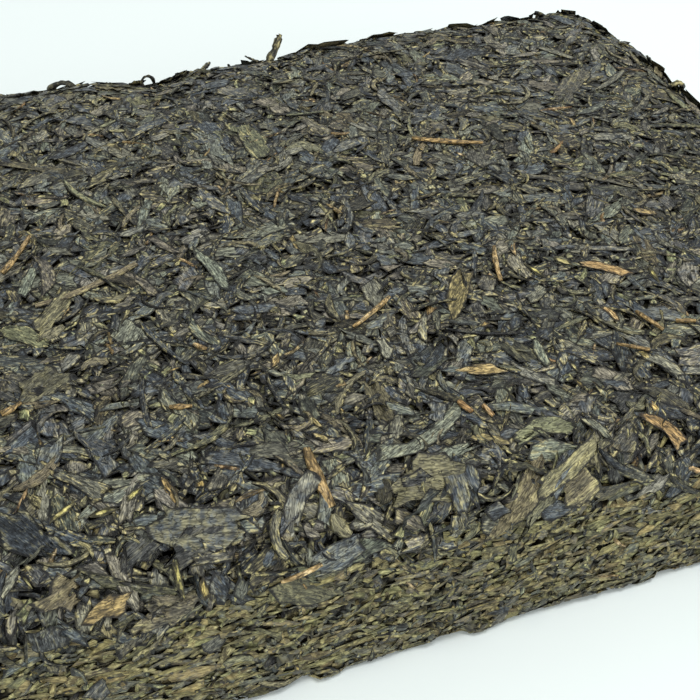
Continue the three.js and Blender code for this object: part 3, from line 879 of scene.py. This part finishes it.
# Broad leaves
# Whole soft leaves, creased and folded as they were pressed. They lie mostly round the shoulders, where
# the mould holds the leaf least, with an edge curling free: the last number of those laid one by one.
BROAD_PLACED = {
    "olive far leaf": (11, 31, 36, -85, 14, 5, 0.55, 0.1), "green leaf": (43, -8, 36, -93, 14, 4, 0.5, 0.1),
    "pale shoulder leaf": (11, -69, 36, -12, 10, 6.5, 0.7, 1.2),
    "yellow leaf": (32, -65, 36, -1, 9, 3, 0.9, 0.5), "grey wide leaf": (-22, -67, 36, -10, 12, 6, 0.6, 1.0),
    "left curl": (-40, -31, 36, 36, 8.5, 5.5, 0.45, 0.8),
    "far left leaf": (-21, 26, 36, 33, 9, 3, 0.6, 0.2), "dull leaf": (-36, -14, 36, 48, 10, 4.5, 0.6, 0.2),
    "yellow left leaf": (-41, -18, 36, -43, 10, 4, 0.8, 0.2),
    "grey fold": (16, -71, 36, -85, 7, 5, 0.45, 0.9),
    "folded leaf": (34, -73, 35, 22, 12, 3, 0.8, 0.8), "folded end": (38, -71, 35, -100, 6, 2, 0.8, 0.3),
    "dark leaf": (-45, -61, 35, -54, 12, 4.5, 0.05, 0.8), "far flat leaf": (-11, 66, 35, 0, 10, 2, 0.4, 0.3),
}
broad_random = default_rng(19)
BROAD_LEAVES = 420
broad = leaf_finish("broad leaf", (0.021, 0.024, 0.026), (0.205, 0.2, 0.15), (0.46, 0.41, 0.19),
                    pitch=1.1, relief=0.8, grain=0.8)
spots, outs = scatter(broad_random, BROAD_LEAVES, top=0.35, shoulder=2.4)
along_edge = broad_random.normal(0, 0.5, BROAD_LEAVES)
any_way = broad_random.uniform(0, 2 * math.pi, BROAD_LEAVES)
on_top = zones(spots, outs)["top"] >= 0.5
seats = turned(spots, outs, np.where(on_top, any_way, along_edge))
free = loose(seats)
cut = torn_leaf(broad_random, BROAD_LEAVES, 8.5, 4.2, free, turns_slate=0.5, crumple=0.1 + 0.12 * free,
                thick=0.35, sinks=0,
                level=0.15 + 0.5 * free - (0.5 + 1.2 * free) * broad_random.random(BROAD_LEAVES),
                curl=(0.15 + 0.8 * free) * broad_random.random(BROAD_LEAVES) ** 2,
                vein=broad_random.uniform(0, 0.4, BROAD_LEAVES),
                tone=0.05 + 0.8 * broad_random.beta(0.8, 1.4, BROAD_LEAVES))
curl = columns_of(BROAD_PLACED)[7]
seats, cut = with_placed(seats, cut, torn_leaf, broad_random, BROAD_PLACED, curl=curl, vein=0.2, crumple=0.18)
lay_leaves("broad_leaves", broad_random, seats, cut, broad, grid=(6, 4))

# Tan leaf
# Yellowed leaf and split stalk, tan to golden brown, that stands out from the dark chips.
TAN_PLACED = {
    "gold leaf": (32, -31, 36, 57, 13, 3.5, 0.5), "flat chip": (28, -50, 36, -14, 7, 2.8, 0.9),
    "tan chip": (60, -32, 36, -40, 9, 2.8, 1.0), "round bit": (-3, -37, 36, -106, 3, 1.5, 1.1),
    "tan splinter": (47, -22, 36, -108, 4, 1.1, 0.9), "far right chip": (76, -19, 36, -25, 5, 1.6, 0.9),
    "orange chip": (55, -44, 36, -80, 4, 1.4, 0.9), "orange leaf": (51, -70, 35, -45, 8, 2.5, 0.7),
    "yellow bit": (-1, -52, 36, -72, 3.5, 1, 1.1), "second yellow bit": (-1, -56, 36, -51, 3.5, 1.2, 1.1),
    "gold bit": (55, -55, 36, -70, 2.5, 1.3, 0.9), "left bit": (-34, -14, 36, 40, 2.5, 1.4, 0.9),
    "pale bit": (-23, -49, 36, -12, 4, 1.4, 0.9), "far bit": (79, 16, 36, -103, 3.5, 1.1, 0.9),
    "yellow green bit": (23, -64, 36, -32, 6, 1.8, 0.6), "far chip": (-14, 58, 36, -39, 5, 1.1, 0.6),
    "near left leaf": (-37, -73, 31, 5, 6.5, 3, 0.6),
}
tan_random = default_rng(37)
TAN_LEAVES = 130
tan = leaf_finish("tan leaf", (0.05, 0.036, 0.018), (0.33, 0.255, 0.135), (0.55, 0.45, 0.24),
                  pitch=0.45, relief=0.3)
seats = strewn(tan_random, TAN_LEAVES, top=1, shoulder=1, side=0.4)
cut = torn_leaf(tan_random, TAN_LEAVES, 3.6, 1.5, 0.3 * loose(seats), turns_slate=0)
seats, cut = with_placed(seats, cut, torn_leaf, tan_random, TAN_PLACED)
lay_leaves("tan_leaves", tan_random, seats, cut, tan, grid=(4, 2))

# Stems
# Woody leaf stalks, orange brown to tan, as thin as a matchstick's edge, pressed in among the leaf.
STEM_SIDES = 6
stem_angle = np.arange(STEM_SIDES) * 2 * math.pi / STEM_SIDES
ROUND = np.stack([np.cos(stem_angle), np.sin(stem_angle)], 1)
STEMS_PLACED = {
    "centre stem": (16, -31, 36, 32, 10, 0.9, 1.0), "low stem": (-4, -63, 36, -88, 11, 1.8, 0.7),
    "far stem": (50, 17, 36, -23, 15, 1.2, 1.0), "left stem": (-40, 5, 36, 58, 11, 1.2, 0.7),
    "edge stem": (-45, -35, 36, 25, 3.5, 1.2, 0.9), "short stem": (42, -25, 36, -108, 10, 0.9, 0.9),
    "orange bit": (22, -57, 36, -71, 3, 1.2, 0.9), "second orange bit": (25, -59, 36, -77, 2.5, 0.9, 1.0),
    "right stick": (60, -48, 36, -71, 6, 0.8, 0.9), "left stick": (-20, -43, 36, -15, 3.5, 0.8, 0.8),
    "shoulder stick": (-10, -74, 29, 4, 6.5, 0.8, 1.0), "bent stick": (54, -53, 36, -35, 5.5, 0.8, 0.9),
    "edge stick": (66, -50, 36, -15, 3.5, 0.9, 0.9), "pale stick": (-14, -30, 36, -41, 2.5, 0.8, 1.1),
}
stem_random = default_rng(23)
STEMS = 190
woody = leaf_finish("woody stem", (0.045, 0.031, 0.016), (0.3, 0.215, 0.115), (0.5, 0.4, 0.23),
                    pitch=0.35, relief=0.15)
seats = strewn(stem_random, STEMS, top=1, shoulder=1, side=0.5)
gentle = np.maximum(np.abs(stem_random.normal(0.1, 0.2, STEMS)), 0.05)
cut = rolled_leaf(stem_random, STEMS, 4.5, 0.65, 0.3 * loose(seats), turns_slate=0, thick=0.6, tip=0.8,
                  curl=gentle)
lift = 0.6 + 1.2 * loose(chosen(STEMS_PLACED))
seats, cut = with_placed(seats, cut, rolled_leaf, stem_random, STEMS_PLACED, thick=0.75, tip=0.8, curl=0.12,
                         level=lift, cap=lift + 0.5)
lay_rods("stems", stem_random, seats, cut, woody, ROUND, np.ones(STEM_SIDES), stations=5)

# Golden bits
# Crumbs of bud and stalk, bright tan to yellow, that catch the light all over the skin. The largest are
# laid one by one, as the larger leaves are.
GOLD_PLACED = {
    "left yellow sprig": (-40, -58, 36, 30, 5, 1.4, 1.3),
    "middle yellow sprig": (-35, -60, 36, 0, 5, 1.1, 1.2),
    "right yellow sprig": (-30, -58, 36, 40, 4, 1.4, 1.3),
    "side fibre": (19, -74, 8, 2, 8, 0.9, 1.3), "foot stalk": (20, -74, 2, 80, 3, 0.8, 1.1),
    "yellow splinter": (48, -29, 36, -70, 4, 1.1, 1.1), "yellow crumb": (54, -28, 36, -40, 3.5, 1.5, 1.0),
    "right yellow splinter": (68, -36, 36, -100, 5, 1, 1.1),
    "yellow shoulder rod": (-27, -74, 34, -88, 5, 1.3, 1.2), "pale rod": (-24, -75, 31, -92, 4.5, 1.3, 0.9),
    "orange crumb": (33, -40, 36, 0, 1.8, 1.4, 0.9), "brown crumb": (51, -66, 36, -60, 4, 1.7, 0.9),
}
gold_random = default_rng(29)
GOLD_BITS = 2400
golden = leaf_finish("golden bud", (0.16, 0.13, 0.05), (0.43, 0.36, 0.15), (0.58, 0.5, 0.26),
                     pitch=0.4, relief=0.2, pale_share=0.4)
seats = strewn(gold_random, GOLD_BITS, top=1, shoulder=0.8, side=1.4)
cut = torn_leaf(gold_random, GOLD_BITS, 1.6, 0.7, 0.3 * loose(seats), turns_slate=0)
seats, cut = with_placed(seats, cut, torn_leaf, gold_random, GOLD_PLACED)
lay_bits("golden_bits", gold_random, seats, cut, golden)

# Underside chips
# The face that the brick stands on was pressed flat against the mould's bottom plate.
under_random = default_rng(31)
UNDER_CHIPS = 3600
seats = strewn(under_random, UNDER_CHIPS, under=1)
cut = torn_leaf(under_random, UNDER_CHIPS, 5.2, 2.4, level=-0.08 - 0.4 * under_random.random(UNDER_CHIPS),
                crown=0.05, pitch=0.0, roll=0.0, crumple=0.02, cap=0.0, thick=0.3)
lay_bits("underside_chips", under_random, seats, cut, layered)

# Floor and light
# A white sweep under a light tent: soft light from all round, with a stronger light overhead at the right
# and a low one in front that fills the near side.
FLOOR_REACH = 3
FLOOR_DROP = 0.2 * MM
corners = [(x * FLOOR_REACH, y * FLOOR_REACH, -FLOOR_DROP) for x, y in ((-1, -1), (1, -1), (1, 1), (-1, 1))]
floor_mesh = bpy.data.meshes.new("floor")
floor_mesh.from_pydata(corners, [], [(0, 1, 2, 3)])
floor = bpy.data.objects.new("floor", floor_mesh)
put_in_scene(floor)
paper = bpy.data.materials.new("white sweep")
paper.use_nodes = True
sheet = paper.node_tree.nodes["Principled BSDF"].inputs
sheet["Base Color"].default_value = (0.825, 0.89, 0.88, 1)
sheet["Roughness"].default_value = 0.9
floor_mesh.materials.append(paper)

tent = bpy.data.worlds.new("light tent")
tent.use_nodes = True
glow = tent.node_tree.nodes["Background"].inputs
glow["Color"].default_value = (0.97, 1, 0.99, 1)
glow["Strength"].default_value = 0.7
bpy.context.scene.world = tent


def softbox(name, place, size, power):
    light = bpy.data.lights.new(name, "AREA")
    light.shape = "RECTANGLE"
    light.size, light.size_y = size
    light.energy = power
    lamp = bpy.data.objects.new(name, light)
    lamp.location = place
    lamp.rotation_euler = (-Vector(place)).to_track_quat("-Z", "Y").to_euler()
    put_in_scene(lamp)


softbox("overhead", place=(0.25, -0.15, 0.9), size=(0.3, 0.3), power=4.35)
softbox("front fill", place=(0.3, -1.3, 0.45), size=(1.4, 0.6), power=6.5)
bpy.context.scene.view_settings.view_transform = "Standard"
